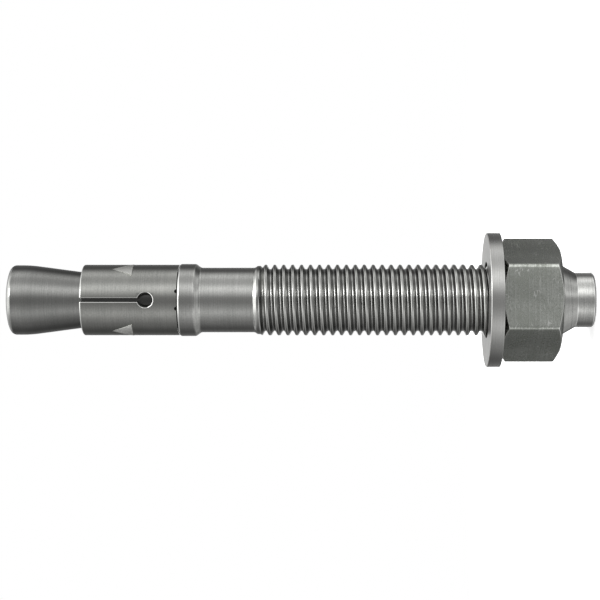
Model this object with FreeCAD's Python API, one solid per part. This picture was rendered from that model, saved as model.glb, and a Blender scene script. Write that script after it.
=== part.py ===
import FreeCAD
import Part

import math
import os

from FreeCAD import Vector

# Wedge anchor of the 16 mm size, standing on its threaded end with the cone up.
# All sizes are millimetres. Z is the axis of the bolt and z = 0 is the face of its threaded end.
# The pieces are a cold formed bolt with its cone, a folded expansion clip, a washer and a nut.

# Bolt, from the threaded end up
TOTAL_LENGTH = 130.0
SPIGOT_RADIUS = 6.075
SPIGOT_LENGTH = 4.0
SPIGOT_CHAMFER = 0.35
LEAD_IN_HALF_ANGLE = 30.0
THREAD_RADIUS = 7.95
SHANK_RADIUS = 7.25
SHANK_LENGTH = 11.7
COLLAR_STEP = 0.175
COLLAR_LENGTH = 3.6
COLLAR_FLARE = 1.1
COLLAR_EDGE = 0.4
NECK_FILLET = 0.4

# Cone that spreads the clip, and the length of it that the clip leaves bare
CONE_HALF_ANGLE = 7.56
CONE_BARE_LENGTH = 16.3
CONE_BLEND_RADIUS = 27.0
CONE_LAND = 1.55
CONE_END_ROUND = 1.0
CONE_UNDER_CLIP = 0.115

# Expansion clip, folded round the neck from sheet
CLIP_OUTER_RADIUS = 7.925
CLIP_SHEET = 1.5
CLIP_LENGTH = 21.4
CLIP_COLLAR_GAP = 0.2
CLIP_NECK_CLEARANCE = 0.325
CLIP_EDGE = 0.15
SLOT_WIDTH = 0.8
SLOT_HOLE_RADIUS = 1.725
SLOT_HOLE_FROM_CONE_END = 14.5
SLOT_ANGLES = (-90.0, 150.0)
SEAM_ANGLE = 30.0
NICK_RADIUS = 0.45
NICK_OFFSET_ANGLE = 14.0
RIB_ANGLES = (-150.0, -30.0, 90.0)
RIB_BASE_FROM_CONE_END = 11.4
RIB_LENGTH = 4.7
RIB_HALF_ANGLE = 18.0
RIB_RISE = 0.2

# Washer and nut, seated on each other near the end of the thread
NUT_BOTTOM = 7.8
NUT_HEIGHT = 13.0
NUT_SIDES = 6
NUT_ACROSS_FLATS = 24.0
NUT_CHAMFER_ANGLE = 30.0
NUT_CHAMFER_INSET = 0.15
NUT_FLAT_ANGLE = -86.6
NUT_THREAD_CLEARANCE = 0.05
NUT_COUNTERSINK = 0.6
WASHER_RADIUS = 15.0
WASHER_THREAD_CLEARANCE = 0.55
WASHER_THICKNESS = 3.0
WASHER_EDGE = 0.2

# Radii and heights that follow from these
CLIP_INNER_RADIUS = CLIP_OUTER_RADIUS - CLIP_SHEET
NECK_RADIUS = CLIP_INNER_RADIUS - CLIP_NECK_CLEARANCE
CONE_RADIUS = CLIP_OUTER_RADIUS - CONE_UNDER_CLIP
COLLAR_RADIUS = CLIP_OUTER_RADIUS + COLLAR_STEP
CLIP_TOP = TOTAL_LENGTH - CONE_BARE_LENGTH
CLIP_BOTTOM = CLIP_TOP - CLIP_LENGTH
COLLAR_TOP = CLIP_BOTTOM - CLIP_COLLAR_GAP
SHANK_TOP = COLLAR_TOP - COLLAR_LENGTH - COLLAR_FLARE
SHANK_BOTTOM = SHANK_TOP - SHANK_LENGTH
THREAD_TOP = SHANK_BOTTOM - (THREAD_RADIUS - SHANK_RADIUS)

# How far a cutting shape runs past the solid that it cuts
CUT_MARGIN = 1.0

AXIS = Vector(0, 0, 1)
ORIGIN = Vector(0, 0, 0)


def point(radius, height):
    """A point of a turned profile, in the plane of X and Z."""
    return Vector(radius, 0, height)


def turned(edges):
    """The solid of a closed profile turned round the Z axis."""
    outline = Part.Wire(edges)
    return Part.Face(outline).revolve(ORIGIN, AXIS, 360)


def lines(points):
    """Straight edges through a run of profile points."""
    return [Part.makeLine(start, end) for start, end in zip(points, points[1:])]


def arc(centre, radius, start_angle, end_angle):
    """An arc of a profile, with angles in degrees from +X towards +Z."""
    middle_angle = (start_angle + end_angle) / 2
    places = []
    for angle in (start_angle, middle_angle, end_angle):
        turn = math.radians(angle)
        places.append(centre + radius * Vector(math.cos(turn), 0, math.sin(turn)))
    return Part.Arc(*places).toShape()


def cone_outline():
    """The bolt's profile from the neck to its end face: cone, blend, land and rounded rim."""
    blend_centre = point(CONE_RADIUS - CONE_BLEND_RADIUS, TOTAL_LENGTH - CONE_END_ROUND - CONE_LAND)
    blend = arc(blend_centre, CONE_BLEND_RADIUS, -CONE_HALF_ANGLE, 0)
    cone_top = blend.Vertexes[0].Point
    cone_drop = (cone_top.x - NECK_RADIUS) / math.tan(math.radians(CONE_HALF_ANGLE))
    cone_bottom = point(NECK_RADIUS, cone_top.z - cone_drop)
    rim_start = point(CONE_RADIUS, TOTAL_LENGTH - CONE_END_ROUND)
    rim_centre = point(CONE_RADIUS - CONE_END_ROUND, TOTAL_LENGTH - CONE_END_ROUND)
    rim = arc(rim_centre, CONE_END_ROUND, 0, 90)
    cone = Part.makeLine(cone_bottom, cone_top)
    land = Part.makeLine(blend.Vertexes[-1].Point, rim_start)
    return [cone, blend, land, rim]


def cone_bolt():
    """The bolt as one turned piece: spigot, thread, shank, collar, neck and cone.

    The thread is its crest cylinder, with a lead-in at one end and a bevel down to the shank.
    """
    lead_in = (THREAD_RADIUS - SPIGOT_RADIUS) / math.tan(math.radians(LEAD_IN_HALF_ANGLE))
    thread_bottom = SPIGOT_LENGTH + lead_in
    fillet_centre = point(NECK_RADIUS + NECK_FILLET, COLLAR_TOP + NECK_FILLET)
    fillet = arc(fillet_centre, NECK_FILLET, -90, -180)
    lower = [
        point(0, 0),
        point(SPIGOT_RADIUS - SPIGOT_CHAMFER, 0),
        point(SPIGOT_RADIUS, SPIGOT_CHAMFER),
        point(SPIGOT_RADIUS, SPIGOT_LENGTH),
        point(THREAD_RADIUS, thread_bottom),
        point(THREAD_RADIUS, THREAD_TOP),
        point(SHANK_RADIUS, SHANK_BOTTOM),
        point(SHANK_RADIUS, SHANK_TOP),
        point(COLLAR_RADIUS, SHANK_TOP + COLLAR_FLARE),
        point(COLLAR_RADIUS, COLLAR_TOP - COLLAR_EDGE),
        point(COLLAR_RADIUS - COLLAR_EDGE, COLLAR_TOP),
        point(NECK_RADIUS + NECK_FILLET, COLLAR_TOP),
    ]
    cone = cone_outline()
    neck = Part.makeLine(point(NECK_RADIUS, COLLAR_TOP + NECK_FILLET), cone[0].Vertexes[0].Point)
    end_face = [
        point(CONE_RADIUS - CONE_END_ROUND, TOTAL_LENGTH),
        point(0, TOTAL_LENGTH),
        point(0, 0),
    ]
    return turned(lines(lower) + [fillet, neck] + cone + lines(end_face))


def radial(shape, angle):
    """A shape made along +X, turned to its place round the bolt."""
    placed = shape.copy()
    placed.rotate(ORIGIN, AXIS, angle)
    return placed


def clip_rib():
    """One pressed triangle of the clip, along +X: flush at its point and proud at its base."""
    base = CLIP_TOP - RIB_BASE_FROM_CONE_END
    tip = base + RIB_LENGTH
    inside = CLIP_OUTER_RADIUS - CLIP_SHEET / 2
    skin = turned(lines([
        point(inside, base),
        point(CLIP_OUTER_RADIUS + RIB_RISE, base),
        point(CLIP_OUTER_RADIUS, tip),
        point(inside, tip),
        point(inside, base),
    ]))
    half_width = CLIP_OUTER_RADIUS * math.tan(math.radians(RIB_HALF_ANGLE))
    corners = [Vector(0, -half_width, base), Vector(0, half_width, base), Vector(0, 0, tip)]
    triangle = Part.Face(Part.makePolygon(corners + corners[:1]))
    return skin.common(triangle.extrude(Vector(2 * CLIP_OUTER_RADIUS, 0, 0)))


def clip_wall():
    """The clip's wall as a whole ring, with its outer edges broken."""
    return turned(lines([
        point(CLIP_INNER_RADIUS, CLIP_BOTTOM),
        point(CLIP_OUTER_RADIUS - CLIP_EDGE, CLIP_BOTTOM),
        point(CLIP_OUTER_RADIUS, CLIP_BOTTOM + CLIP_EDGE),
        point(CLIP_OUTER_RADIUS, CLIP_TOP - CLIP_EDGE),
        point(CLIP_OUTER_RADIUS - CLIP_EDGE, CLIP_TOP),
        point(CLIP_INNER_RADIUS, CLIP_TOP),
        point(CLIP_INNER_RADIUS, CLIP_BOTTOM),
    ]))


def gap_cutter(bottom):
    """A cut through one side of the wall, along +X, from a height up past the clip's top."""
    height = CLIP_TOP + CUT_MARGIN - bottom
    return Part.makeBox(COLLAR_RADIUS, SLOT_WIDTH, height, Vector(0, -SLOT_WIDTH / 2, bottom))


def hole_cutter(radius, height):
    """A round cut through one side of the wall, along +X, at a height."""
    return Part.makeCylinder(radius, COLLAR_RADIUS, Vector(0, 0, height), Vector(1, 0, 0))


def expansion_clip():
    """The clip: a sheet wrapped round the neck, with a seam and two slots between three fingers."""
    ribs = [radial(clip_rib(), angle) for angle in RIB_ANGLES]
    hole_height = CLIP_TOP - SLOT_HOLE_FROM_CONE_END
    cutters = [radial(gap_cutter(CLIP_BOTTOM - CUT_MARGIN), SEAM_ANGLE)]
    for angle in SLOT_ANGLES:
        cutters.append(radial(gap_cutter(hole_height), angle))
        cutters.append(radial(hole_cutter(SLOT_HOLE_RADIUS, hole_height), angle))
        for side in (-NICK_OFFSET_ANGLE, NICK_OFFSET_ANGLE):
            cutters.append(radial(hole_cutter(NICK_RADIUS, CLIP_BOTTOM), angle + side))
    return clip_wall().fuse(ribs).removeSplitter().cut(cutters)


def hexagon(radius, flat_angle):
    """The corners of a closed hexagon round the Z axis, with one flat towards an angle."""
    corners = []
    for corner in range(NUT_SIDES):
        angle = math.radians(flat_angle) + (2 * corner + 1) * math.pi / NUT_SIDES
        corners.append(Vector(radius * math.cos(angle), radius * math.sin(angle), 0))
    return Part.makePolygon(corners + corners[:1])


def hex_nut():
    """The nut: a hexagon with both faces chamfered and a countersunk bore."""
    corner_radius = NUT_ACROSS_FLATS / 2 / math.cos(math.pi / NUT_SIDES)
    prism = Part.Face(hexagon(corner_radius, NUT_FLAT_ANGLE)).extrude(Vector(0, 0, NUT_HEIGHT))
    face_radius = NUT_ACROSS_FLATS / 2 - NUT_CHAMFER_INSET
    rim = corner_radius + CUT_MARGIN
    drop = (rim - face_radius) * math.tan(math.radians(NUT_CHAMFER_ANGLE))
    bore = THREAD_RADIUS + NUT_THREAD_CLEARANCE
    blank = turned(lines([
        point(bore + NUT_COUNTERSINK, 0),
        point(face_radius, 0),
        point(rim, drop),
        point(rim, NUT_HEIGHT - drop),
        point(face_radius, NUT_HEIGHT),
        point(bore + NUT_COUNTERSINK, NUT_HEIGHT),
        point(bore, NUT_HEIGHT - NUT_COUNTERSINK),
        point(bore, NUT_COUNTERSINK),
        point(bore + NUT_COUNTERSINK, 0),
    ]))
    nut = prism.common(blank)
    nut.translate(Vector(0, 0, NUT_BOTTOM))
    return nut


def washer():
    """The washer: a punched ring with small edge breaks."""
    bore = THREAD_RADIUS + WASHER_THREAD_CLEARANCE
    bottom = NUT_BOTTOM + NUT_HEIGHT
    top = bottom + WASHER_THICKNESS
    return turned(lines([
        point(bore, bottom),
        point(WASHER_RADIUS - WASHER_EDGE, bottom),
        point(WASHER_RADIUS, bottom + WASHER_EDGE),
        point(WASHER_RADIUS, top - WASHER_EDGE),
        point(WASHER_RADIUS - WASHER_EDGE, top),
        point(bore, top),
        point(bore, bottom),
    ]))


def main():
    """Build every piece and write it to its own file."""
    os.makedirs("parts", exist_ok=True)
    pieces = {
        "cone_bolt": cone_bolt(),
        "expansion_clip": expansion_clip(),
        "washer": washer(),
        "hex_nut": hex_nut(),
    }
    for name, piece in pieces.items():
        solid = piece.Solids[0]
        print(name, "solids", len(piece.Solids), "valid", piece.isValid(), "mm3", round(piece.Volume, 1))
        solid.exportStep(os.path.join("parts", name + ".step"))


main()
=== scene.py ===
import logging
import math
from collections.abc import Callable, Iterable, Sequence
from dataclasses import dataclass
from enum import Enum

import bmesh
import bpy
from mathutils import Matrix, Vector


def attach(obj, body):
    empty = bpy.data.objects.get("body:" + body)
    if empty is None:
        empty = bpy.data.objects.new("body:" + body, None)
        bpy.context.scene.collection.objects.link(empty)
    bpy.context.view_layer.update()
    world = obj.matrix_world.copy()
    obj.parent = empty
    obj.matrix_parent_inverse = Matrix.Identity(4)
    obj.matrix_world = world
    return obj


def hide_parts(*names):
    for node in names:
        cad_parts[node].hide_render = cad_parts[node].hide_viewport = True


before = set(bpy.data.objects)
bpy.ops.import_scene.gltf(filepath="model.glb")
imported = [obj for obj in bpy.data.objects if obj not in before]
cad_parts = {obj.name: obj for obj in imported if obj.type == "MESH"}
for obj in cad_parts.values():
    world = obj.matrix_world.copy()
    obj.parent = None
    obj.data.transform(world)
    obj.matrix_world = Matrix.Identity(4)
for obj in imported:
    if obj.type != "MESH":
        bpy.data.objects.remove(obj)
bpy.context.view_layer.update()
MM = 0.001
AXIS = Vector((0, 0, 1))
ORIGIN = Vector((0, 0, 0))
MARGIN = 0.01
CREASE_ANGLE = math.radians(40)
LOG = logging.getLogger("wedge_anchor")

Shape = bmesh.types.BMesh
Face = bmesh.types.BMFace
Vert = bmesh.types.BMVert
Tree = bpy.types.NodeTree
Socket = bpy.types.NodeSocket
Point = tuple[float, float]
Profile = Sequence[Point]
Span = tuple[float, float]
Colour = tuple[float, float, float]
Place = tuple[float, float, float]

# How bright the panels are in each direction round the axis: 0 degrees is the camera's side, and
# positive angles turn towards the picture's top.
PANEL_LEVELS = {
    -180: 0.16, -150: 0.15, -122: 0.1, -98: 0.18, -78: 0.28, -61: 0.42, -45: 0.57, -30: 0.44,
    -15: 0.3, -1: 0.26, 13: 0.38, 28: 0.78, 42: 0.98, 58: 0.63, 75: 0.57, 94: 0.73, 118: 0.19,
    150: 0.14,
}

# How the panels fade by height, from straight down at -1 to straight up at 1.
HEIGHT_LEVELS = {
    -1.0: 0.32, -0.6: 0.46, -0.35: 0.52, -0.23: 0.76, -0.14: 0.95, -0.09: 0.7, -0.04: 0.57,
    0.0: 0.55, 1.0: 0.55,
}


class Facing(Enum):
    """Which end of a piece an edge belongs to, seen along the axis."""

    THREAD_END = -1
    CONE_END = 1


def mesh_object(name: str, shape: Shape, body: str, nodes: Iterable[str] = ()) -> bpy.types.Object:
    """Turn a finished bmesh into an object that rides on a body.

    Args:
        name: The piece's name.
        shape: The bmesh, which is freed.
        body: The body that the piece moves with.
        nodes: The frame's nodes that the piece stands for.

    Returns:
        The linked object, whose large faces keep their own shading beside small bevels.
    """
    mesh = bpy.data.meshes.new(name)
    shape.to_mesh(mesh)
    shape.free()
    mesh.shade_smooth()
    mesh.set_sharp_from_angle(angle=CREASE_ANGLE)
    piece = bpy.data.objects.new(name, mesh)
    bpy.context.scene.collection.objects.link(piece)
    normals = piece.modifiers.new("face_normals", "WEIGHTED_NORMAL")
    normals.weight = 100
    normals.keep_sharp = True
    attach(piece, body)
    for node in nodes:
        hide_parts(node)
    LOG.info("%s: %d faces", name, len(mesh.polygons))
    return piece


def spun(profile: Profile, steps: int) -> Shape:
    """Spin an open profile of (radius, height) millimetres once round the axis.

    Args:
        profile: The points of the profile, in order.
        steps: How many flats the full turn has.

    Returns:
        A bmesh in metres, with its poles merged and its faces outwards.
    """
    shape = bmesh.new()
    points = [shape.verts.new((radius * MM, 0, height * MM)) for radius, height in profile]
    edges = [shape.edges.new(pair) for pair in zip(points, points[1:])]
    bmesh.ops.spin(
        shape, geom=points + edges, cent=ORIGIN, axis=AXIS, dvec=ORIGIN,
        angle=math.tau, steps=steps, use_merge=True, use_duplicate=False,
    )
    bmesh.ops.remove_doubles(shape, verts=shape.verts, dist=0.0005 * MM)
    bmesh.ops.recalc_face_normals(shape, faces=shape.faces)
    return shape


def cut(
    shape: Shape, place: Place, normal: Place, snap: float = 1e-8, clear: bool = False,
) -> None:
    """Cut a whole shape along a plane.

    Args:
        shape: The bmesh to cut.
        place: A point of the plane, in metres.
        normal: The plane's normal.
        snap: How near, in metres, a vertex counts as lying on the plane.
        clear: Whether what lies on the normal's side goes.
    """
    bmesh.ops.bisect_plane(
        shape, geom=shape.verts[:] + shape.edges[:] + shape.faces[:], dist=snap,
        plane_co=place, plane_no=normal, clear_outer=clear, clear_inner=False,
    )


def everywhere(_place: Vector) -> bool:
    """Take every place."""
    return True


def face_layer(shape: Shape, name: str) -> bmesh.types.BMLayerItem:
    """The shape's layer of shares for its faces, made where it is missing."""
    layers = shape.faces.layers.float
    return layers.get(name) or layers.new(name)


def mark_faces(shape: Shape, name: str, share: float, picks: Callable[[Face], bool]) -> None:
    """Set a share on the faces that a test picks.

    Args:
        shape: The bmesh to mark.
        name: The layer's name: rim for polished faces and for painted highlights, matte for dull
            ones.
        share: The share, from 0 to 1.
        picks: Tells whether a face takes part.
    """
    layer = face_layer(shape, name)
    for face in shape.faces:
        if picks(face):
            face[layer] = share


def soften(
    shape: Shape, width: float, least_angle: float, segments: int = 2,
    where: Callable[[Vector], bool] = everywhere, rim: float = 1.0,
) -> None:
    """Bevel a shape's sharp edges and mark the new faces as rims.

    Args:
        shape: The bmesh to bevel.
        width: The bevel's width in millimetres.
        least_angle: The least angle in degrees that counts as sharp.
        segments: How many strips each bevel has.
        where: Tells from an edge's middle, in metres, whether it takes part.
        rim: How far the new faces are polished, from 0 to 1.
    """
    layer = face_layer(shape, "rim")
    sharp = []
    for edge in shape.edges:
        if len(edge.link_faces) != 2 or edge.calc_face_angle(0) < math.radians(least_angle):
            continue
        if where((edge.verts[0].co + edge.verts[1].co) / 2):
            sharp.append(edge)
    made = bmesh.ops.bevel(
        shape, geom=sharp, offset=width * MM, offset_type="OFFSET", segments=segments,
        profile=0.5, affect="EDGES", material=-1, clamp_overlap=True,
    )
    for face in made["faces"]:
        face[layer] = rim


def radius_of(place: Vector) -> float:
    """The distance of a place from the axis, in millimetres."""
    return math.hypot(place.x, place.y) / MM


def set_radius(vert: Vert, radius: float) -> None:
    """Move a vertex out or in, at its own angle and height.

    Args:
        vert: The vertex, which stays where it is when it lies on the axis.
        radius: The new distance from the axis, in millimetres.
    """
    now = radius_of(vert.co)
    if now > 0:
        vert.co.x *= radius / now
        vert.co.y *= radius / now


def compute(tree: Tree, operation: str, *values: Socket | float) -> Socket:
    """Add a Math node.

    Args:
        tree: The node tree to add to.
        operation: The operation's name.
        values: Sockets or numbers, in the node's own order.

    Returns:
        The node's output socket.
    """
    node = tree.nodes.new("ShaderNodeMath")
    node.operation = operation
    for slot, value in enumerate(values):
        if isinstance(value, (int, float)):
            node.inputs[slot].default_value = value
        else:
            tree.links.new(value, node.inputs[slot])
    return node.outputs[0]


def blend(tree: Tree, factor: Socket, first: Socket, second: Socket | tuple[float, ...]) -> Socket:
    """Add a colour mix.

    Args:
        tree: The node tree to add to.
        factor: The socket that blends from the first colour to the second.
        first: A colour socket.
        second: A colour socket or a plain colour.

    Returns:
        The mixed colour's socket.
    """
    node = tree.nodes.new("ShaderNodeMix")
    node.data_type = "RGBA"
    node.clamp_factor = True
    colours = [socket for socket in node.inputs if socket.type == "RGBA"]
    tree.links.new(factor, node.inputs["Factor"])
    for socket, value in zip(colours, (first, second)):
        if isinstance(value, tuple):
            socket.default_value = value
        else:
            tree.links.new(value, socket)
    return next(socket for socket in node.outputs if socket.type == "RGBA")


def fade(tree: Tree, value: Socket, span: Span) -> Socket:
    """Add a smooth step.

    Args:
        tree: The node tree to add to.
        value: The socket that the step follows.
        span: Where the step is still 0, and where it has come to 1.

    Returns:
        The step's socket.
    """
    step = tree.nodes.new("ShaderNodeMapRange")
    step.interpolation_type = "SMOOTHSTEP"
    step.inputs["From Min"].default_value, step.inputs["From Max"].default_value = span
    tree.links.new(value, step.inputs["Value"])
    return step.outputs["Result"]


def ramp(tree: Tree, value: Socket, stops: dict[float, float]) -> Socket:
    """Add a smooth curve of grey levels.

    Args:
        tree: The node tree to add to.
        value: The socket that the curve follows, from 0 to 1.
        stops: The grey level at each position.

    Returns:
        The curve's colour socket.
    """
    node = tree.nodes.new("ShaderNodeValToRGB")
    curve = node.color_ramp
    curve.interpolation = "CARDINAL"
    for number, (position, level) in enumerate(sorted(stops.items())):
        element = curve.elements[number] if number < 2 else curve.elements.new(position)
        element.position = position
        element.color = (level, level, level, 1)
    tree.links.new(value, node.inputs[0])
    return node.outputs["Color"]


def noise(
    tree: Tree, vector: Socket, scale: float, detail: float, roughness: float = 0.5,
) -> Socket:
    """Add a noise pattern.

    Args:
        tree: The node tree to add to.
        vector: The socket of the places that it reads.
        scale: How many waves lie in one metre.
        detail: How many finer layers it has.
        roughness: How strong the finer layers are.

    Returns:
        The pattern's socket, around 0.5.
    """
    node = tree.nodes.new("ShaderNodeTexNoise")
    for label, value in (("Scale", scale), ("Detail", detail), ("Roughness", roughness)):
        node.inputs[label].default_value = value
    tree.links.new(vector, node.inputs["Vector"])
    return node.outputs[0]


def attribute(tree: Tree, name: str) -> Socket:
    """Read a named share of the mesh.

    Args:
        tree: The node tree to add to.
        name: The share's name.

    Returns:
        The share's socket, which is 0 where the mesh has none.
    """
    node = tree.nodes.new("ShaderNodeAttribute")
    node.attribute_name = name
    return node.outputs["Fac"]


def place_group(
    tree: Tree, group: Tree, values: dict[str, float | tuple[float, ...]],
) -> bpy.types.Node:
    """Place a shared group in a tree.

    Args:
        tree: The node tree to add to.
        group: The shared group.
        values: The plain values of its inputs, by name.

    Returns:
        The group's node.
    """
    node = tree.nodes.new("ShaderNodeGroup")
    node.node_tree = group
    for label, value in values.items():
        node.inputs[label].default_value = value
    return node


def start_group(
    name: str, inputs: dict[str, tuple[str, object]], outputs: dict[str, str],
) -> tuple[Tree, bpy.types.Node, bpy.types.Node]:
    """Start a group with its sockets.

    Args:
        name: The group's name.
        inputs: Socket names with their type and default value.
        outputs: Socket names with their type.

    Returns:
        The group, its input node and its output node.
    """
    group = bpy.data.node_groups.new(name, "ShaderNodeTree")
    for label, (kind, value) in inputs.items():
        socket = group.interface.new_socket(label, in_out="INPUT", socket_type=kind)
        socket.default_value = value
    for label, kind in outputs.items():
        group.interface.new_socket(label, in_out="OUTPUT", socket_type=kind)
    return group, group.nodes.new("NodeGroupInput"), group.nodes.new("NodeGroupOutput")


@dataclass(frozen=True)
class SteelFinish:
    """One worked steel surface."""

    name: str
    light: Colour
    dark: Colour
    roughness: float
    line_pitch: float
    line_depth: float
    line_tone: float
    mottle: float
    rim_gain: float
    edge: Colour = (0.9, 0.9, 0.88)
    rings: float = 1.0
    scratches: float = 0.0

    def material(self) -> bpy.types.Material:
        """Build the finish's material from the shared effect groups.

        Returns:
            The material.
        """
        material = bpy.data.materials.new(self.name)
        material.use_nodes = True
        tree = material.node_tree
        links = tree.links
        shader = tree.nodes["Principled BSDF"]
        shader.inputs["Metallic"].default_value = 1.0
        lines = place_group(
            tree, Effects.turned_lines(), {"Pitch": self.line_pitch * MM, "Rings": self.rings},
        )
        patches = place_group(tree, Effects.patches(), {})
        tone = place_group(tree, Effects.steel_tone(), {
            "Light": (*self.light, 1), "Dark": (*self.dark, 1), "Edge": (*self.edge, 1),
            "Line Tone": self.line_tone, "Mottle": self.mottle, "Rim Gain": self.rim_gain,
            "Base Roughness": self.roughness,
        })
        links.new(lines.outputs["Lines"], tone.inputs["Lines"])
        for label in ("Patches", "Specks"):
            links.new(patches.outputs[label], tone.inputs[label])
        if self.scratches:
            scratches = place_group(tree, Effects.scratches(), {"Strength": self.scratches})
            links.new(scratches.outputs["Scratches"], tone.inputs["Scratches"])
        links.new(tone.outputs["Color"], shader.inputs["Base Color"])
        links.new(tone.outputs["Roughness"], shader.inputs["Roughness"])
        bump = tree.nodes.new("ShaderNodeBump")
        bump.inputs["Strength"].default_value = 1.0
        bump.inputs["Distance"].default_value = self.line_depth * MM
        links.new(lines.outputs["Lines"], bump.inputs["Height"])
        links.new(bump.outputs["Normal"], shader.inputs["Normal"])
        return material


@dataclass(frozen=True)
class Surroundings:
    """What stands round the object, by the X, Y and Z of a direction.

    Each span says where a fade starts and where it is complete.
    """

    sheet_height: Span = (0.36, 0.54)
    sheet_low_side: Span = (-0.72, -0.25)
    sheet_high_side: Span = (0.78, 0.56)
    sheet_front: Span = (-0.9, 0.1)
    sheet_elsewhere: float = 0.23
    ground_height: Span = (-0.5, -0.85)
    ground_level: float = 0.3
    low_panel_side: Span = (-0.3, -0.6)
    low_panel_height: Span = (-0.22, -0.4)
    low_panel_level: float = 0.36
    backdrop_front: Span = (-0.95, -0.98)


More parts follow.
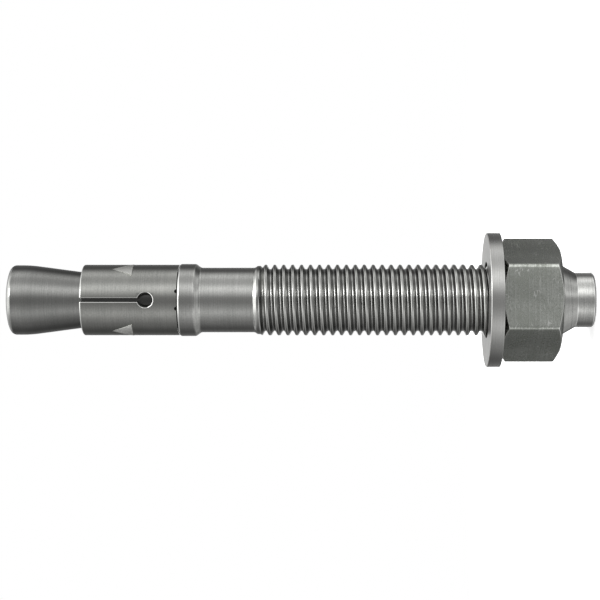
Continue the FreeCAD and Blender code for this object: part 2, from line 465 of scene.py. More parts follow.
class Effects:
    """Shader node groups that the finishes and the studio share, each built once."""

    LINE_DRIFT = 0.55
    PATCH_SCALES = (("Patches", 260.0, 3.0), ("Specks", 2600.0, 2.0))
    SCRATCH_TURN = (0.4, 0.9, 0.3)
    SCRATCH_STRETCH = (1.0, 2.6, 2.6)
    SCRATCH_SCALES = (340.0, 420.0)
    SCRATCH_WIDTH = (0.022, 0.006)
    SCRATCH_PLACES = (0.53, 0.62)
    # The near black that painted shade blends the colour towards.
    PAINTED_SHADE = (0.03, 0.03, 0.03, 1)
    MATTE_ROUGHNESS = 0.3
    GRAIN_ROUGHNESS = -0.25

    @classmethod
    def turned_lines(cls) -> Tree:
        """Fine lines that run round the axis, as turning and drawing leave them.

        Returns:
            The group, whose Lines output lies around 0.5.
        """
        name = "turned_lines"
        if name in bpy.data.node_groups:
            return bpy.data.node_groups[name]
        group, start, end = start_group(
            name, {"Pitch": ("NodeSocketFloat", 0.0001), "Rings": ("NodeSocketFloat", 1.0)},
            {"Lines": "NodeSocketFloat"},
        )
        place = group.nodes.new("ShaderNodeTexCoord")
        split = group.nodes.new("ShaderNodeSeparateXYZ")
        group.links.new(place.outputs["Object"], split.inputs[0])
        east, north, height = (split.outputs[label] for label in "XYZ")
        angle = compute(group, "ARCTAN2", north, east)
        squares = compute(
            group, "ADD", compute(group, "POWER", east, 2.0), compute(group, "POWER", north, 2.0),
        )
        rings = compute(group, "MULTIPLY", compute(group, "SQRT", squares), start.outputs["Rings"])
        across = compute(group, "ADD", height, rings)
        joined = group.nodes.new("ShaderNodeCombineXYZ")
        parts = (
            compute(group, "MULTIPLY", compute(group, "COSINE", angle), cls.LINE_DRIFT),
            compute(group, "MULTIPLY", compute(group, "SINE", angle), cls.LINE_DRIFT),
            compute(group, "DIVIDE", across, start.outputs["Pitch"]),
        )
        for slot, value in enumerate(parts):
            group.links.new(value, joined.inputs[slot])
        lines = noise(group, joined.outputs[0], scale=1.0, detail=4.0, roughness=0.6)
        group.links.new(lines, end.inputs["Lines"])
        return group

    @classmethod
    def patches(cls) -> Tree:
        """Soft patches and small specks of a plated surface.

        Returns:
            The group, whose outputs lie around 0.5.
        """
        name = "plating_patches"
        if name in bpy.data.node_groups:
            return bpy.data.node_groups[name]
        outputs = {"Patches": "NodeSocketFloat", "Specks": "NodeSocketFloat"}
        group, _, end = start_group(name, {}, outputs)
        place = group.nodes.new("ShaderNodeTexCoord")
        for label, scale, detail in cls.PATCH_SCALES:
            pattern = noise(group, place.outputs["Object"], scale, detail)
            group.links.new(pattern, end.inputs[label])
        return group

    @classmethod
    def scratches(cls) -> Tree:
        """Thin, short, slightly curved handling marks, in scattered places.

        Returns:
            The group, whose Scratches output is 0 off the marks.
        """
        name = "handling_scratches"
        if name in bpy.data.node_groups:
            return bpy.data.node_groups[name]
        group, start, end = start_group(
            name, {"Strength": ("NodeSocketFloat", 0.5)}, {"Scratches": "NodeSocketFloat"},
        )
        place = group.nodes.new("ShaderNodeTexCoord")
        stretch = group.nodes.new("ShaderNodeMapping")
        stretch.inputs["Rotation"].default_value = cls.SCRATCH_TURN
        stretch.inputs["Scale"].default_value = cls.SCRATCH_STRETCH
        group.links.new(place.outputs["Object"], stretch.inputs["Vector"])
        curves, spread = (
            noise(group, source, scale, 1.0) for source, scale in
            zip((stretch.outputs["Vector"], place.outputs["Object"]), cls.SCRATCH_SCALES)
        )
        away = compute(group, "ABSOLUTE", compute(group, "SUBTRACT", curves, 0.5))
        line = fade(group, away, cls.SCRATCH_WIDTH)
        scattered = fade(group, spread, cls.SCRATCH_PLACES)
        marks = compute(group, "MULTIPLY", line, scattered)
        marks = compute(group, "MULTIPLY", marks, start.outputs["Strength"])
        group.links.new(marks, end.inputs["Scratches"])
        return group

    @classmethod
    def steel_tone(cls) -> Tree:
        """Colour and roughness of a steel surface from its lines, patches, specks, rims and painted
        shade.

        Returns:
            The group.
        """
        name = "steel_tone"
        if name in bpy.data.node_groups:
            return bpy.data.node_groups[name]
        inputs = {
            "Light": ("NodeSocketColor", (1, 1, 1, 1)),
            "Dark": ("NodeSocketColor", (0, 0, 0, 1)),
            "Edge": ("NodeSocketColor", (1, 1, 1, 1)),
            "Lines": ("NodeSocketFloat", 0.5),
            "Patches": ("NodeSocketFloat", 0.5),
            "Specks": ("NodeSocketFloat", 0.5),
            "Line Tone": ("NodeSocketFloat", 0.5),
            "Mottle": ("NodeSocketFloat", 0.5),
            "Rim Gain": ("NodeSocketFloat", 0.0),
            "Scratches": ("NodeSocketFloat", 0.0),
            "Base Roughness": ("NodeSocketFloat", 0.2),
        }
        outputs = {"Color": "NodeSocketColor", "Roughness": "NodeSocketFloat"}
        group, start, end = start_group(name, inputs, outputs)
        given = start.outputs
        line_part, patch_part, speck_part = (
            compute(group, "MULTIPLY", compute(group, "SUBTRACT", given[label], 0.5), given[gain])
            for label, gain in (("Lines", "Line Tone"), ("Patches", "Mottle"), ("Specks", "Mottle"))
        )
        grain = compute(group, "ADD", line_part, compute(group, "ADD", patch_part, speck_part))
        rim_part = compute(
            group, "MULTIPLY_ADD", attribute(group, "rim"), given["Rim Gain"], given["Scratches"],
        )
        worked = blend(group, compute(group, "ADD", grain, 0.5), given["Dark"], given["Light"])
        edged = blend(group, rim_part, worked, given["Edge"])
        # Painted shade: a share stored on the mesh darkens the colour towards near black.
        shaded = blend(group, attribute(group, "painted_shade"), edged, cls.PAINTED_SHADE)
        group.links.new(shaded, end.inputs["Color"])
        plain = compute(
            group, "MULTIPLY_ADD", attribute(group, "matte"), cls.MATTE_ROUGHNESS,
            given["Base Roughness"],
        )
        rough = compute(group, "MULTIPLY_ADD", grain, cls.GRAIN_ROUGHNESS, plain)
        group.links.new(rough, end.inputs["Roughness"])
        return group

    @staticmethod
    def studio_light(surroundings: Surroundings) -> Tree:
        """The light that comes from each direction: soft panels, dark flags and an overhead sheet.

        Args:
            surroundings: Where the sheet, the panels and the backdrop lie.

        Returns:
            The group, whose Backdrop output is 1 where the white backdrop stands.
        """
        name = "studio_light"
        if name in bpy.data.node_groups:
            return bpy.data.node_groups[name]
        inputs = {
            "Direction": ("NodeSocketVector", (0.0, -1.0, 0.0)),
            "Panels": ("NodeSocketFloat", 1.0),
            "Overhead": ("NodeSocketFloat", 1.0),
        }
        outputs = {"Level": "NodeSocketFloat", "Backdrop": "NodeSocketFloat"}
        group, start, end = start_group(name, inputs, outputs)
        split = group.nodes.new("ShaderNodeSeparateXYZ")
        group.links.new(start.outputs["Direction"], split.inputs[0])
        side, back, height = (split.outputs[label] for label in "XYZ")
        front = compute(group, "MULTIPLY", back, -1.0)
        angle = compute(group, "ARCTAN2", side, front)
        turn = compute(group, "MULTIPLY_ADD", angle, 1 / math.tau, 0.5)
        levels = {degrees / 360 + 0.5: level for degrees, level in PANEL_LEVELS.items()}
        levels[1.0] = levels[0.0]
        around = ramp(group, turn, levels)
        levels = {place / 2 + 0.5: level for place, level in HEIGHT_LEVELS.items()}
        upwards = ramp(group, compute(group, "MULTIPLY_ADD", height, 0.5, 0.5), levels)
        panels = compute(group, "MULTIPLY", around, upwards)
        panels = compute(group, "MULTIPLY", panels, start.outputs["Panels"])
        ground = fade(group, height, surroundings.ground_height)
        panels = compute(group, "MULTIPLY_ADD", ground, surroundings.ground_level, panels)
        low_panel = compute(
            group, "MULTIPLY", fade(group, side, surroundings.low_panel_side),
            fade(group, height, surroundings.low_panel_height),
        )
        panels = compute(group, "MULTIPLY_ADD", low_panel, surroundings.low_panel_level, panels)
        reach = compute(
            group, "MULTIPLY", fade(group, side, surroundings.sheet_low_side),
            fade(group, side, surroundings.sheet_high_side),
        )
        reach = compute(group, "MULTIPLY", reach, fade(group, front, surroundings.sheet_front))
        elsewhere = surroundings.sheet_elsewhere
        reach = compute(group, "MULTIPLY_ADD", reach, 1 - elsewhere, elsewhere)
        sheet = compute(group, "MULTIPLY", fade(group, height, surroundings.sheet_height), reach)
        sheet = compute(group, "MULTIPLY", sheet, start.outputs["Overhead"])
        group.links.new(compute(group, "ADD", panels, sheet), end.inputs["Level"])
        group.links.new(fade(group, front, surroundings.backdrop_front), end.inputs["Backdrop"])
        return group


BOLT_STEEL = SteelFinish(
    name="turned_bolt_steel", light=(0.5, 0.5, 0.485), dark=(0.34, 0.345, 0.33), roughness=0.14,
    line_pitch=0.16, line_depth=0.009, line_tone=1.4, mottle=0.8, rim_gain=0.8,
)
CLIP_STEEL = SteelFinish(
    name="drawn_clip_steel", light=(0.42, 0.42, 0.4), dark=(0.27, 0.275, 0.26), roughness=0.14,
    line_pitch=0.1, line_depth=0.006, line_tone=1.3, mottle=0.8, rim_gain=0.9,
)
PRESSED_STEEL = SteelFinish(
    name="pressed_clip_steel", light=(0.42, 0.42, 0.4), dark=(0.27, 0.275, 0.26), roughness=0.45,
    line_pitch=0.2, line_depth=0.01, line_tone=0.3, mottle=1.0, rim_gain=0.9,
    edge=(0.85, 0.85, 0.82),
)
WASHER_STEEL = SteelFinish(
    name="punched_washer_steel", light=(0.47, 0.47, 0.455), dark=(0.34, 0.34, 0.33), roughness=0.22,
    line_pitch=0.14, line_depth=0.006, line_tone=1.0, mottle=0.4, rim_gain=0.5,
)
NUT_STEEL = SteelFinish(
    name="formed_nut_steel", light=(0.48, 0.495, 0.463), dark=(0.313, 0.328, 0.297), roughness=0.24,
    line_pitch=0.16, line_depth=0.006, line_tone=2.3, mottle=2.0, rim_gain=0.75, rings=0.0,
    scratches=0.5,
)


@dataclass(frozen=True)
class ThreadForm:
    """A rolled metric screw thread, in millimetres.

    The shades are painted shade from the middle of a crest to the middle of the root, darkest on
    the flank away from the cone: one list for the flank on the cone's side of the crest, and one
    for the flank on its other side.
    """

    pitch: float = 2.0
    crest_radius: float = 7.95
    root_radius: float = 6.94
    crest_round: float = 0.32
    crest_steps: int = 4
    root_round: float = 0.34
    root_steps: int = 3
    crest_land: float = 0.07
    flank_normal: float = math.radians(60)
    # Painted shade, darkest on the flank that looks away from the cone and its light.
    upper_painted_shades: tuple[float, ...] = (0.0, 0.0, 0.0, 0.0, 0.0, 0.0, 0.0, 0.0, 0.0, 0.1)
    lower_painted_shades: tuple[float, ...] = (0.0, 0.0, 0.0, 0.05, 0.45, 0.79, 0.79, 0.79, 0.35, 0.1)
    # Painted highlight: the roots' sides that look towards the cone and its light are made lighter.
    root_painted_highlight: float = 0.4
    painted_highlight_reach: float = 0.14
    phase: float = 1.0

    def profile(self) -> list[tuple[float, float, float]]:
        """Work out one pitch, from the middle of a crest up to the next.

        Returns:
            The radius, the height and the painted shade of each point.
        """
        half = [(self.crest_radius, 0.0)]
        for step in range(self.crest_steps + 1):
            turn = self.flank_normal * step / self.crest_steps
            half.append((
                self.crest_radius - self.crest_round * (1 - math.cos(turn)),
                self.crest_land + self.crest_round * math.sin(turn),
            ))
        foot = self.root_radius + self.root_round * (1 - math.cos(self.flank_normal))
        height = half[-1][1] + (half[-1][0] - foot) / math.tan(self.flank_normal)
        for step in range(self.root_steps + 1):
            turn = self.flank_normal * (1 - step / self.root_steps)
            half.append((
                self.root_radius + self.root_round * (1 - math.cos(turn)),
                height + self.root_round * (math.sin(self.flank_normal) - math.sin(turn)),
            ))
        rise = [(radius, level, painted_shade) for (radius, level), painted_shade in zip(half, self.upper_painted_shades)]
        back = [
            (radius, self.pitch - level, painted_shade)
            for (radius, level), painted_shade in zip(half, self.lower_painted_shades)
        ]
        return rise + back[::-1]

    def helix(self, bottom: float, top: float, steps_per_turn: int) -> Shape:
        """Sweep the profile up the axis as a right-hand screw.

        Args:
            bottom: The height that the screw starts from, in millimetres.
            top: The height that it ends at.
            steps_per_turn: How many flats each turn has.

        Returns:
            A bmesh of the screw's outer skin, open at both ends.
        """
        first = math.floor((bottom - self.phase) / self.pitch) - 1
        turns = math.ceil((top - bottom) / self.pitch) + 3
        shape = bmesh.new()
        layer = shape.verts.layers.float.new("painted_shade")
        points = []
        for radius, height, painted_shade in self.profile():
            place = (radius * MM, 0, (height + self.phase + first * self.pitch) * MM)
            points.append(shape.verts.new(place))
            points[-1][layer] = painted_shade
        edges = [shape.edges.new(pair) for pair in zip(points, points[1:])]
        step = Vector((0, 0, self.pitch / steps_per_turn * MM))
        bmesh.ops.spin(
            shape, geom=points + edges, cent=ORIGIN, axis=AXIS, dvec=step,
            angle=math.tau, steps=steps_per_turn, use_merge=False, use_duplicate=False,
        )
        one_turn = shape.verts[:] + shape.edges[:] + shape.faces[:]
        for turn in range(1, turns):
            made = bmesh.ops.duplicate(shape, geom=one_turn)
            copied = [item for item in made["geom"] if isinstance(item, Vert)]
            bmesh.ops.translate(shape, verts=copied, vec=(0, 0, turn * self.pitch * MM))
        bmesh.ops.remove_doubles(shape, verts=shape.verts, dist=0.002 * MM)
        for height, keep in ((bottom, Facing.CONE_END), (top, Facing.THREAD_END)):
            cut(shape, (0, 0, height * MM), (0, 0, -keep.value), snap=1e-9, clear=True)
        return shape


@dataclass
class ConeBolt:
    """The bolt: threaded end, shank, collar, neck and cone, in millimetres up the axis."""

    thread: ThreadForm = ThreadForm()
    length: float = 130.0
    spigot_radius: float = 6.075
    spigot_length: float = 4.0
    spigot_chamfer: float = 0.35
    spigot_ease: float = 0.1
    thread_gap: float = 0.6
    lead_in_slope: float = math.tan(math.radians(30))
    shank_radius: float = 7.25
    shank_bottom: float = 75.7
    ring_top: float = 75.45
    ring_bottom: float = 74.8
    ring_slope: float = 0.66
    run_out_top: float = 74.2
    run_out_slope: float = 0.6
    ring_land: float = 0.45
    groove_full_from: float = 9.6
    groove_fade: float = 1.3
    groove_fade_power: float = 1.5
    shank_top: float = 87.4
    collar_radius: float = 8.1
    collar_bottom: float = 88.5
    collar_top: float = 92.1
    collar_foot_ease: float = 0.3
    collar_edge: float = 0.3
    collar_edge_share: float = 0.55
    collar_edge_rim: float = 0.25
    # Painted shade: the collar is painted a little darker all over.
    collar_shade: float = 0.05
    neck_radius: float = 6.1
    # Painted shade under the clip: the neck is painted dark.
    neck_shade: float = 0.84
    neck_shade_reach: float = 0.3
    neck_shade_top: float = 113.5
    neck_shade_blend: float = 0.15
    cone_half_angle: float = math.radians(7.56)
    cone_radius: float = 7.81
    cone_blend_radius: float = 27.0
    cone_blend_steps: int = 8
    cone_land_bottom: float = 127.45
    # Painted shade along the cone, by height.
    cone_shades: tuple[Point, ...] = ((113.5, 0.46), (123.9, 0.39), (127.0, 0.25), (130.0, 0.33))
    end_reach: float = 1.15
    end_depth: float = 1.1
    end_steps: int = 14
    edge_ease: float = 0.06
    steps: int = 144
    thread_steps: int = 72
    join: float = 0.1

    def envelope(self, height: float) -> float:
        """The largest radius that the thread may reach.

        Args:
            height: The height up the axis.

        Returns:
            The radius that the lead-in, the run-out or the step above it allows.
        """
        lead_in = self.spigot_radius + (height - self.spigot_length) * self.lead_in_slope
        ring = self.shank_radius + (self.ring_top - height) * self.ring_slope
        ring_radius = self.shank_radius + (self.ring_top - self.ring_bottom) * self.ring_slope
        run_out = ring_radius + (self.run_out_top - height) * self.run_out_slope
        run_out = max(run_out, ring_radius)
        return min(lead_in, max(min(ring, run_out), self.shank_radius), self.thread.crest_radius)

    def floor(self, height: float) -> float:
        """The smallest radius that the groove may reach where it starts and runs out.

        Args:
            height: The height up the axis.

        Returns:
            The root's radius on the full thread, and up to the crest's beyond it.
        """
        root = self.thread.root_radius
        rise = self.thread.crest_radius - root
        start = (self.groove_full_from - height) / self.groove_fade
        finish = (height - self.ring_bottom + self.ring_land + self.groove_fade) / self.groove_fade
        return root + rise * min(max(start, finish, 0.0), 1.0) ** self.groove_fade_power

    def cone_shade(self, height: float) -> float:
        """How much painted shade the cone takes: most beside the clip, least just below the end's
        round, a little more on the round.

        Args:
            height: The height up the axis.

        Returns:
            The shade, which runs evenly from each height of the list to the next.
        """
        for (low, start), (high, end) in zip(self.cone_shades, self.cone_shades[1:]):
            if height <= high:
                return start + (end - start) * (height - low) / (high - low)
        return self.cone_shades[-1][1]

    def painted_shade_at(self, place: Vector, thread_painted_shade: float) -> float:
        """How much painted shade a place of the skin takes.

        Args:
            place: The place, in metres.
            thread_painted_shade: The thread's own painted shade there.

        Returns:
            The shade, from 0 to 1. The neck is painted dark up to the clip's edge, as shade under
            the clip; the collar and the cone are painted darker too.
        """
        height = place.z / MM
        if self.collar_top - MARGIN < height < self.neck_shade_top - MARGIN:
            inside = radius_of(place) < self.neck_radius + self.neck_shade_reach
            return self.neck_shade if inside else 0.0
        if height > self.collar_top:
            return self.cone_shade(height)
        if height > (self.shank_top + self.collar_bottom) / 2:
            return self.collar_shade
        start = self.groove_full_from - self.groove_fade
        finish = self.ring_bottom - self.ring_land
        return thread_painted_shade if start <= height <= finish else 0.0

    def cone_profile(self) -> list[Point]:
        """The profile from the neck to the middle of the end face, with its blend and round.

        Returns:
            The radius and the height of each point, in millimetres.
        """
        points = []
        centre = self.cone_radius - self.cone_blend_radius
        for step in range(self.cone_blend_steps + 1):
            angle = self.cone_half_angle * (step / self.cone_blend_steps - 1)
            points.append((
                centre + self.cone_blend_radius * math.cos(angle),
                self.cone_land_bottom + self.cone_blend_radius * math.sin(angle),
            ))
        slope = math.tan(self.cone_half_angle)
        foot = points[0][1] - (points[0][0] - self.neck_radius) / slope
        straight = [
            (self.neck_radius + (height - foot) * slope, height)
            for height in (foot, self.neck_shade_top - self.neck_shade_blend, self.neck_shade_top)
        ]
        points = straight + points
        for step in range(self.end_steps + 1):
            angle = math.radians(90) * step / self.end_steps
            points.append((
                self.cone_radius - self.end_depth + self.end_depth * math.cos(angle),
                self.length - self.end_reach + self.end_reach * math.sin(angle),
            ))
        return points + [(0.0, self.length)]

    def build_thread(self, bottom: float) -> Shape:
        """Sweep the thread and press it inside its lead-in, its run-out and the step above it.

        Args:
            bottom: The height that the thread starts from.

        Returns:
            The thread's skin, open at both ends.
        """
        shape = self.thread.helix(bottom, self.shank_bottom, self.thread_steps)
        face_layer(shape, "rim")
        for vert in shape.verts:
            height = vert.co.z / MM
            limited = max(radius_of(vert.co), self.floor(height))
            set_radius(vert, min(limited, self.envelope(height)))
        return shape

    def build_spigot(self, top: float) -> Shape:
        """Turn the plain threaded end.

        Args:
            top: The height that it ends at, inside the lead-in.

        Returns:
            The end's skin, open at its top.
        """
        shape = spun([
            (0.0, 0.0),
            (self.spigot_radius - self.spigot_chamfer, 0.0),
            (self.spigot_radius, self.spigot_chamfer),
            (self.spigot_radius, self.spigot_length),
            (self.envelope(top), top),
        ], self.steps)
        soften(shape, self.spigot_ease, least_angle=20)
        return shape

    def build_upper(self) -> Shape:
        """Turn the shank, the collar, the neck and the cone, open at the shank's bottom.

        Returns:
            The skin of all four.
        """
        shape = spun([
            (self.shank_radius, self.shank_bottom + self.join),
            (self.shank_radius, self.shank_top),
            (self.collar_radius, self.collar_bottom),
            (self.collar_radius, self.collar_top - self.collar_edge),
            (self.collar_radius - self.collar_edge_share * self.collar_edge, self.collar_top),
            (self.neck_radius, self.collar_top),
        ] + self.cone_profile(), self.steps)
        middle = (self.collar_bottom + self.collar_top) / 2 * MM
        edge_middle = (self.collar_top - self.collar_edge / 2) * MM

        def below_middle(place: Vector) -> bool:
            """Whether a place lies on the shank's side of the collar's middle."""
            return place.z < middle

        def above_middle(place: Vector) -> bool:
            """Whether a place lies on the cone's side of the collar's middle."""
            return place.z > middle

        def on_collar_edge(face: Face) -> bool:
            """Whether a face belongs to the bevel of the collar."""
            return abs(face.calc_center_median().z - edge_middle) < self.collar_edge / 2 * MM

        soften(
            shape, self.collar_foot_ease, least_angle=30, segments=4, where=below_middle, rim=0.0,
        )
        soften(shape, self.edge_ease, least_angle=25, where=above_middle)
        mark_faces(shape, "rim", self.collar_edge_rim, on_collar_edge)
        return shape

    def join_parts(self, shape: Shape, parts: Iterable[Shape], heights: Iterable[float]) -> None:
        """Add turned parts to the thread and close the joins.

        Args:
            shape: The thread, which takes them up.
            parts: The parts, which are freed.
            heights: Where the joins lie, in millimetres.
        """
        for part in parts:
            loose = bpy.data.meshes.new("part")
            part.to_mesh(loose)
            part.free()
            shape.from_mesh(loose)
            bpy.data.meshes.remove(loose)
        for height in heights:
            near = [
                edge for edge in shape.edges
                if edge.is_boundary and abs(edge.verts[0].co.z / MM - height) < 2 * self.join
            ]
            bmesh.ops.bridge_loops(shape, edges=near)
        bmesh.ops.recalc_face_normals(shape, faces=shape.faces)

    def in_groove(self, face: Face) -> bool:
        """Whether a face lies in the groove's root and looks towards the cone, where a highlight is
        painted.

        Args:
            face: A face of the skin.

        Returns:
            True on the full thread only.
        """
        middle = face.calc_center_median()
        if not self.groove_full_from < middle.z / MM < self.ring_bottom - self.ring_land:
            return False
        reach = self.thread.root_radius + self.thread.painted_highlight_reach
        return radius_of(middle) < reach and face.normal.z > 0.1

    def build(self) -> bpy.types.Object:
        """Build the whole bolt as one closed skin.

        Returns:
            The bolt's object.
        """
        thread_bottom = self.spigot_length + self.thread_gap
        shape = self.build_thread(thread_bottom)
        parts = (self.build_spigot(thread_bottom - self.join), self.build_upper())
        self.join_parts(shape, parts, (thread_bottom, self.shank_bottom))
        # Painted highlight: the roots' sides that look towards the cone are marked as bright rims.
        mark_faces(shape, "rim", self.thread.root_painted_highlight, self.in_groove)
        # Painted shade on the neck, the collar, the cone and the thread's grooves.
        painted_shade = shape.verts.layers.float["painted_shade"]
        for vert in shape.verts:
            vert[painted_shade] = self.painted_shade_at(vert.co, vert[painted_shade])
        piece = mesh_object("bolt_skin", shape, "bolt", ["cone_bolt"])
        piece.data.materials.append(BOLT_STEEL.material())
        return piece


@dataclass
class ExpansionClip:
    """The clip: a flat pattern with slots, cut, eased at its edges and wrapped round the neck."""

    outer_radius: float = 7.925
    sheet: float = 1.5
    bottom: float = 92.31
    top: float = 113.7
    slot_width: float = 0.8
    hole_radius: float = 1.7
    hole_height: float = 99.2
    slot_angles: tuple[float, float] = (-90.0, 150.0)
    seam_angle: float = 30.0
    nick_radius: float = 0.45
    nick_offset: float = 14.0
    rib_angles: tuple[float, float, float] = (-150.0, -30.0, 90.0)
    rib_base: float = 102.3
    rib_tip: float = 107.0
    rib_half_angle: float = 17.0
    rib_rise: float = 0.22
    # The triangles' brighter pressed finish; the dimly lit triangle at -150 degrees is painted
    # brighter than the other two, partly real finish and partly painted highlight.
    rib_finish_and_painted_light: tuple[float, float, float] = (1.0, 0.44, 0.44)
    rib_depth: float = 0.3
    rib_lift: float = 0.01
    rib_ease: float = 0.08
    end_ease: float = 0.34
    end_rim: float = 0.35
    slot_ease: float = 0.2
    slot_rim: float = 0.6
    cut_margin: float = 0.35
    nick_steps: int = 8
    hole_steps: int = 32
    columns: int = 150

    def along(self, angle: float) -> float:
        """Where an angle in degrees lies along the flat pattern, from the seam, in millimetres."""
        return math.radians((angle - self.seam_angle) % 360) * self.outer_radius

    @staticmethod
    def arc(shape: Shape, start: Vert, centre: Vector, turn: float, steps: int) -> Vert:
        """Carry the outline on round a centre.

        Args:
            shape: The bmesh of the outline.
            start: The outline's last vertex.
            centre: The arc's centre, in metres.
            turn: How far the arc turns, in radians.
            steps: How many edges it has.

        Returns:
            The arc's last vertex.
        """
        made = bmesh.ops.spin(
            shape, geom=[start], cent=centre, axis=AXIS, dvec=ORIGIN,
            angle=turn, steps=steps, use_merge=False, use_duplicate=False,
        )
        return next(item for item in made["geom_last"] if isinstance(item, Vert))

    def flat_pattern(self) -> Shape:
        """The clip's outline, laid flat: X runs round the clip and Y up it, in metres.

        Returns:
            A bmesh with the pattern's one face.
        """
        shape = bmesh.new()
        left = self.slot_width / 2
        right = math.tau * self.outer_radius - self.slot_width / 2
        run = shape.verts.new((left * MM, self.bottom * MM, 0))
        first = run

        def line_to(across: float, height: float) -> None:
            """Carry the outline on with a straight edge.

            Args:
                across: Where the edge ends along the pattern, in millimetres.
                height: Where it ends up the pattern, in millimetres.
            """
            nonlocal run
            corner = shape.verts.new((across * MM, height * MM, 0))
            shape.edges.new((run, corner))
            run = corner

        nicks = sorted(
            self.along(angle + side) for angle in self.slot_angles
            for side in (-self.nick_offset, self.nick_offset)
        )
        for place in nicks:
            line_to(place - self.nick_radius, self.bottom)
            centre = Vector((place * MM, self.bottom * MM, 0))
            run = self.arc(shape, run, centre, -math.pi, self.nick_steps)
        line_to(right, self.bottom)
        line_to(right, self.top)
        opening = math.asin(self.slot_width / 2 / self.hole_radius)
        shoulder = self.hole_height + self.hole_radius * math.cos(opening)
        for place in sorted((self.along(angle) for angle in self.slot_angles), reverse=True):
            line_to(place + self.slot_width / 2, self.top)
            line_to(place + self.slot_width / 2, shoulder)
            centre = Vector((place * MM, self.hole_height * MM, 0))
            run = self.arc(shape, run, centre, 2 * opening - math.tau, self.hole_steps)
            line_to(place - self.slot_width / 2, self.top)
        line_to(left, self.top)
        shape.edges.new((run, first))
        bmesh.ops.remove_doubles(shape, verts=shape.verts, dist=0.001 * MM)
        bmesh.ops.contextual_create(shape, geom=shape.edges[:])
        return shape

    def wrap(self, shape: Shape) -> None:
        """Wrap a flat shape round the axis. Faces that point outwards still do afterwards.

        Args:
            shape: The flat shape, whose Z becomes the distance from the sheet's outer face.
        """
        for vert in shape.verts:
            angle = vert.co.x / (self.outer_radius * MM) + math.radians(self.seam_angle)
            radius = self.outer_radius * MM + vert.co.z
            vert.co = Vector((radius * math.cos(angle), radius * math.sin(angle), vert.co.y))

    def slice_columns(self, shape: Shape) -> None:
        """Cut a flat shape into narrow upright columns, so that it bends smoothly.

        Args:
            shape: The flat shape.
        """
        width = math.tau * self.outer_radius / self.columns
        for column in range(1, self.columns):
            cut(shape, (column * width * MM, 0, 0), (1, 0, 0))

    def slice_rows(self, shape: Shape) -> None:
        """Cut a flat shape across near its holes, so that its long faces stay plain.

        Args:
            shape: The flat shape.
        """
        reach = self.hole_radius + self.cut_margin
        rows = (
            self.bottom + self.nick_radius + self.cut_margin, self.hole_height - reach,
            self.hole_height + reach,
        )
        for height in rows:
            cut(shape, (0, height * MM, 0), (0, 1, 0))

    def build_sheet(self) -> bpy.types.Object:
        """Build the wrapped sheet.

        Returns:
            The sheet's object.
        """
        shape = self.flat_pattern()
        made = bmesh.ops.extrude_face_region(shape, geom=shape.faces[:])
        moved = [item for item in made["geom"] if isinstance(item, Vert)]
        bmesh.ops.translate(shape, verts=moved, vec=(0, 0, -self.sheet * MM))
        bmesh.ops.recalc_face_normals(shape, faces=shape.faces)
        outer_side = -0.5 * self.sheet * MM
        end = (self.top - MARGIN) * MM
        foot = (self.bottom + self.nick_radius + MARGIN) * MM

        def at_end(place: Vector) -> bool:
            """Whether an edge is an outer one beside the cone."""
            return place.z > outer_side and place.y > end

        def above_foot(place: Vector) -> bool:
            """Whether an edge is an outer one above the nicks."""
            return place.z > outer_side and place.y > foot

        soften(
            shape, self.end_ease, least_angle=60, segments=5, where=at_end, rim=self.end_rim,
        )
        soften(
            shape, self.slot_ease, least_angle=60, segments=3, where=above_foot, rim=self.slot_rim,
        )
        self.slice_rows(shape)
        self.slice_columns(shape)
        self.wrap(shape)
        bmesh.ops.recalc_face_normals(shape, faces=shape.faces)
        piece = mesh_object("clip_sheet", shape, "clip", ["expansion_clip"])
        piece.data.materials.append(CLIP_STEEL.material())
        return piece

    def build_ribs(self) -> bpy.types.Object:
        """Build the three pressed triangles, proud at their base and flush at their point.

        Returns:
            The triangles' object.
        """
        shape = bmesh.new()
        pressed = face_layer(shape, "rim")
        half = self.outer_radius * math.tan(math.radians(self.rib_half_angle))
        corners = ((-half, self.rib_base), (half, self.rib_base), (0.0, self.rib_tip))
        for angle, finish_and_light in zip(self.rib_angles, self.rib_finish_and_painted_light):
            middle = self.along(angle)
            ring = [
                shape.verts.new(((middle + across) * MM, height * MM, -self.rib_depth * MM))
                for across, height in corners
            ]
            made = bmesh.ops.extrude_face_region(shape, geom=[shape.faces.new(ring)])
            for item in made["geom"]:
                if isinstance(item, Face):
                    # Pressed finish, with a painted highlight on one triangle.
                    item[pressed] = finish_and_light
                elif isinstance(item, Vert):
                    share = (self.rib_tip - item.co.y / MM) / (self.rib_tip - self.rib_base)
                    item.co.z = (self.rib_rise * share + self.rib_lift) * MM
        bmesh.ops.recalc_face_normals(shape, faces=shape.faces)
        soften(shape, self.rib_ease, least_angle=60, segments=2, rim=0.0)
        self.slice_columns(shape)
        # The normals aren't recalculated after this: thin bent shells would be turned inside out.
        self.wrap(shape)
        piece = mesh_object("clip_triangles", shape, "clip")
        piece.data.materials.append(PRESSED_STEEL.material())
        return piece


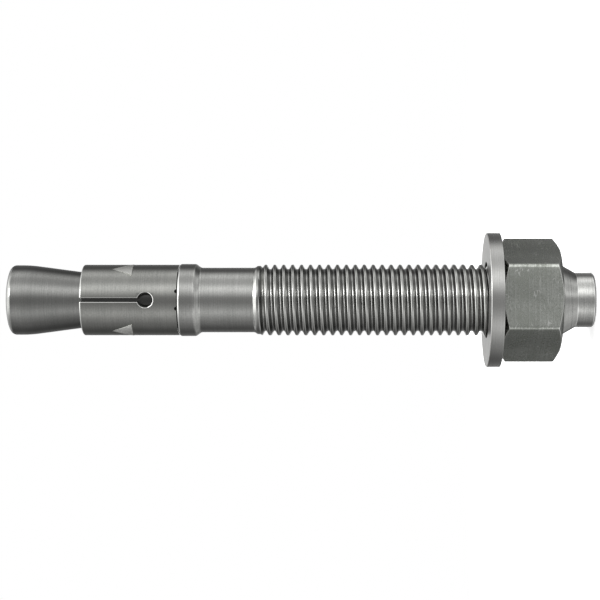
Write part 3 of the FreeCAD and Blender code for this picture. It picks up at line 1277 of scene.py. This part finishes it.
@dataclass
class Washer:
    """The flat washer, in millimetres."""

    radius: float = 15.0
    bore: float = 8.5
    bottom: float = 20.8
    thickness: float = 3.0
    face_matte: float = 0.4
    face_rim: float = 0.22
    upper_ease: float = 0.2
    upper_rim: float = 0.6
    lower_ease: float = 0.12
    lower_rim: float = 0.3
    steps: int = 160

    def build(self) -> bpy.types.Object:
        """Build the ring with a rounded upper rim and a tighter lower one.

        Returns:
            The washer's object.
        """
        top = self.bottom + self.thickness
        middle = (self.bottom + self.thickness / 2) * MM
        shape = spun([
            (self.bore, self.bottom),
            (self.radius, self.bottom),
            (self.radius, top),
            (self.bore, top),
            (self.bore, self.bottom),
        ], self.steps)

        def is_flat(face: Face) -> bool:
            """Whether a face is part of one of the two flat sides."""
            return abs(face.normal.z) > 0.9

        def is_upper(place: Vector) -> bool:
            """Whether a place lies on the collar's side."""
            return place.z > middle

        def is_lower(place: Vector) -> bool:
            """Whether a place lies on the nut's side."""
            return place.z < middle

        mark_faces(shape, "matte", self.face_matte, is_flat)
        mark_faces(shape, "rim", self.face_rim, is_flat)
        soften(
            shape, self.upper_ease, least_angle=60, segments=3, where=is_upper, rim=self.upper_rim,
        )
        soften(
            shape, self.lower_ease, least_angle=60, segments=2, where=is_lower, rim=self.lower_rim,
        )
        piece = mesh_object("washer_ring", shape, "washer", ["washer"])
        piece.data.materials.append(WASHER_STEEL.material())
        return piece


@dataclass
class HexNut:
    """The hexagon nut, in millimetres."""

    bottom: float = 7.8
    height: float = 13.0
    blank_radius: float = 20.0
    blank_margin: float = 1.0
    across_flats: float = 24.0
    turn: float = math.radians(3.4 - 90)
    corner_round: float = 0.35
    face_radius: float = 11.85
    chamfer_slope: float = math.tan(math.radians(30))
    countersink: float = 8.6
    bore: float = 8.0
    # Painted shade: one softly darker stretch on each flat, in place of a reflection.
    flat_shade: float = 0.15
    flat_shade_middle: float = 0.2
    flat_shade_reach: float = 0.75
    edge_ease: float = 0.12
    steps: int = 240

    def off_middle(self, angle: float) -> float:
        """How far an angle lies from the middle of its flat, in radians."""
        return (angle - self.turn + math.pi / 6) % (math.pi / 3) - math.pi / 6

    def painted_shade_of(self, angle: float) -> float:
        """The painted shade on the flats: each flat has one softly darker stretch, standing in for
        a reflection.

        Args:
            angle: The angle round the axis, in radians.

        Returns:
            The shade, from 0 to 1.
        """
        along = math.tan(self.off_middle(angle)) / math.tan(math.pi / 6)
        share = (along - self.flat_shade_middle) / self.flat_shade_reach
        return self.flat_shade * math.cos(math.pi / 2 * min(max(share, -1.0), 1.0)) ** 2

    def hexagon_radius(self, angle: float) -> float:
        """The radius of the hexagon, with its corners rounded.

        Args:
            angle: The angle round the axis, in radians.

        Returns:
            The radius in millimetres.
        """
        apothem = self.across_flats / 2
        inner = apothem - self.corner_round
        away = self.off_middle(angle)
        corner = math.pi / 6
        if apothem * math.tan(abs(away)) <= inner * math.tan(corner):
            return apothem / math.cos(away)
        reach = inner / math.cos(corner)
        along = reach * math.cos(corner - abs(away))
        return along + math.sqrt(along * along - reach * reach + self.corner_round ** 2)

    def build(self) -> bpy.types.Object:
        """Spin the nut's section, then press its outside to the hexagon and its chamfers.

        Returns:
            The nut's object.
        """
        top = self.bottom + self.height
        shape = spun([
            (self.bore, self.bottom + self.countersink - self.bore),
            (self.countersink, self.bottom),
            (self.face_radius, self.bottom),
            (self.blank_radius, self.bottom + self.blank_margin),
            (self.blank_radius, top - self.blank_margin),
            (self.face_radius, top),
            (self.countersink, top),
            (self.bore, top - self.countersink + self.bore),
            (self.bore, self.bottom + self.countersink - self.bore),
        ], self.steps)
        # Painted shade on the flats.
        painted_shade = shape.verts.layers.float.new("painted_shade")
        for vert in shape.verts:
            if radius_of(vert.co) < self.blank_radius - self.blank_margin:
                continue
            angle = math.atan2(vert.co.y, vert.co.x)
            vert[painted_shade] = self.painted_shade_of(angle)
            radius = self.hexagon_radius(angle)
            drop = max(radius - self.face_radius, 0) * self.chamfer_slope
            lower = vert.co.z / MM < self.bottom + self.height / 2
            vert.co.z = (self.bottom + drop if lower else top - drop) * MM
            set_radius(vert, radius)
        soften(shape, self.edge_ease, least_angle=22, segments=2)
        bmesh.ops.recalc_face_normals(shape, faces=shape.faces)
        piece = mesh_object("nut_body", shape, "nut", ["hex_nut"])
        piece.data.materials.append(NUT_STEEL.material())
        return piece


@dataclass
class Studio:
    """The pale floor, the light all round and the camera, in metres."""

    floor_radius: float = 0.4
    floor_drop: float = 0.0002
    floor_tone: float = 0.85
    floor_roughness: float = 0.9
    floor_glow: float = 0.6
    surroundings: Surroundings = Surroundings()
    panels: float = 2.36
    overhead: float = 1.85
    lamp_place: Place = (0.2, -0.38, 0.44)
    lamp_aim: Place = (0, 0, 0.06)
    lamp_size: float = 0.2
    lamp_power: float = 0.8
    camera_distance: float = 0.34994
    camera_height: float = 0.052806
    camera_yaw: float = math.radians(0.956)
    lens: float = 93.75
    shift: float = -0.05

    @staticmethod
    def seeing_rays(tree: Tree) -> tuple[Socket, Socket]:
        """Tell the camera's own rays, and the mirrored and refracted ones, from all other rays.

        Args:
            tree: The node tree to add to.

        Returns:
            A socket that is 1 for the camera's rays, and one that is 1 for the mirrored and
            refracted rays.
        """
        rays = tree.nodes.new("ShaderNodeLightPath")
        mirror = compute(
            tree, "MAXIMUM", rays.outputs["Is Glossy Ray"], rays.outputs["Is Transmission Ray"],
        )
        return rays.outputs["Is Camera Ray"], mirror

    def build_floor(self) -> None:
        """Lay a round white floor that keeps the object's shadow."""
        shape = bmesh.new()
        bmesh.ops.create_circle(shape, cap_ends=True, segments=96, radius=self.floor_radius)
        mesh = bpy.data.meshes.new("floor")
        bmesh.ops.translate(shape, verts=shape.verts, vec=(0, 0, -self.floor_drop))
        shape.to_mesh(mesh)
        shape.free()
        floor = bpy.data.objects.new("floor", mesh)
        bpy.context.scene.collection.objects.link(floor)
        floor.visible_glossy = False
        material = bpy.data.materials.new("white_floor")
        material.use_nodes = True
        tree = material.node_tree
        inputs = tree.nodes["Principled BSDF"].inputs
        inputs["Base Color"].default_value = (self.floor_tone,) * 3 + (1,)
        inputs["Roughness"].default_value = self.floor_roughness
        inputs["Specular IOR Level"].default_value = 0.0
        inputs["Emission Color"].default_value = (1, 1, 1, 1)
        camera, mirror = self.seeing_rays(tree)
        seen = compute(tree, "ADD", camera, mirror)
        glow = compute(tree, "MULTIPLY", seen, self.floor_glow)
        tree.links.new(glow, inputs["Emission Strength"])
        mesh.materials.append(material)

    def build_world(self) -> None:
        """Light the object from soft panels round its axis and from overhead, on white."""
        world = bpy.data.worlds.new("studio")
        bpy.context.scene.world = world
        world.use_nodes = True
        tree = world.node_tree
        nodes = tree.nodes
        links = tree.links
        place = nodes.new("ShaderNodeTexCoord")
        studio = place_group(
            tree, Effects.studio_light(self.surroundings),
            {"Panels": self.panels, "Overhead": self.overhead},
        )
        links.new(place.outputs["Generated"], studio.inputs["Direction"])
        camera, mirror = self.seeing_rays(tree)
        shown = nodes.new("ShaderNodeMix")
        mirrored = compute(tree, "MULTIPLY", mirror, studio.outputs["Backdrop"])
        links.new(compute(tree, "ADD", camera, mirrored), shown.inputs["Factor"])
        links.new(studio.outputs["Level"], shown.inputs["A"])
        shown.inputs["B"].default_value = 1.0
        background = nodes["Background"]
        background.inputs["Color"].default_value = (1, 1, 1, 1)
        links.new(shown.outputs["Result"], background.inputs["Strength"])

    def build_lamp(self) -> None:
        """Hang a soft lamp above the cone, on the camera's side, for crisp edges."""
        light = bpy.data.lights.new("cone_lamp", "AREA")
        light.shape = "SQUARE"
        light.size = self.lamp_size
        light.energy = self.lamp_power
        lamp = bpy.data.objects.new("cone_lamp", light)
        bpy.context.scene.collection.objects.link(lamp)
        lamp.location = self.lamp_place
        aim = Vector(self.lamp_aim) - Vector(self.lamp_place)
        lamp.rotation_euler = aim.to_track_quat("-Z", "Y").to_euler()

    def build_camera(self) -> None:
        """Set the camera to the photograph's view, with the cone at the picture's left."""
        data = bpy.data.cameras.new("camera")
        data.lens = self.lens
        data.sensor_width = 36.0
        data.shift_x = self.shift
        data.clip_start = 0.01
        data.clip_end = 10.0
        camera = bpy.data.objects.new("camera", data)
        bpy.context.scene.collection.objects.link(camera)
        forward = Vector((0, math.cos(self.camera_yaw), math.sin(self.camera_yaw)))
        up = Vector((1, 0, 0))
        right = forward.cross(up)
        place = Vector((0, -self.camera_distance, self.camera_height))
        turn = Matrix((right, up, -forward)).transposed()
        camera.matrix_world = Matrix.Translation(place) @ turn.to_4x4()
        bpy.context.scene.camera = camera

    def build(self) -> None:
        """Build the whole studio."""
        self.build_floor()
        self.build_world()
        self.build_lamp()
        self.build_camera()
        bpy.context.scene.view_settings.view_transform = "Standard"


def main() -> None:
    """Build the anchor's pieces, then the studio."""
    logging.basicConfig(level=logging.INFO, format="%(relativeCreated)d ms %(message)s")
    ConeBolt().build()
    clip = ExpansionClip()
    clip.build_sheet()
    clip.build_ribs()
    Washer().build()
    HexNut().build()
    Studio().build()


if __name__ == "__main__":
    main()
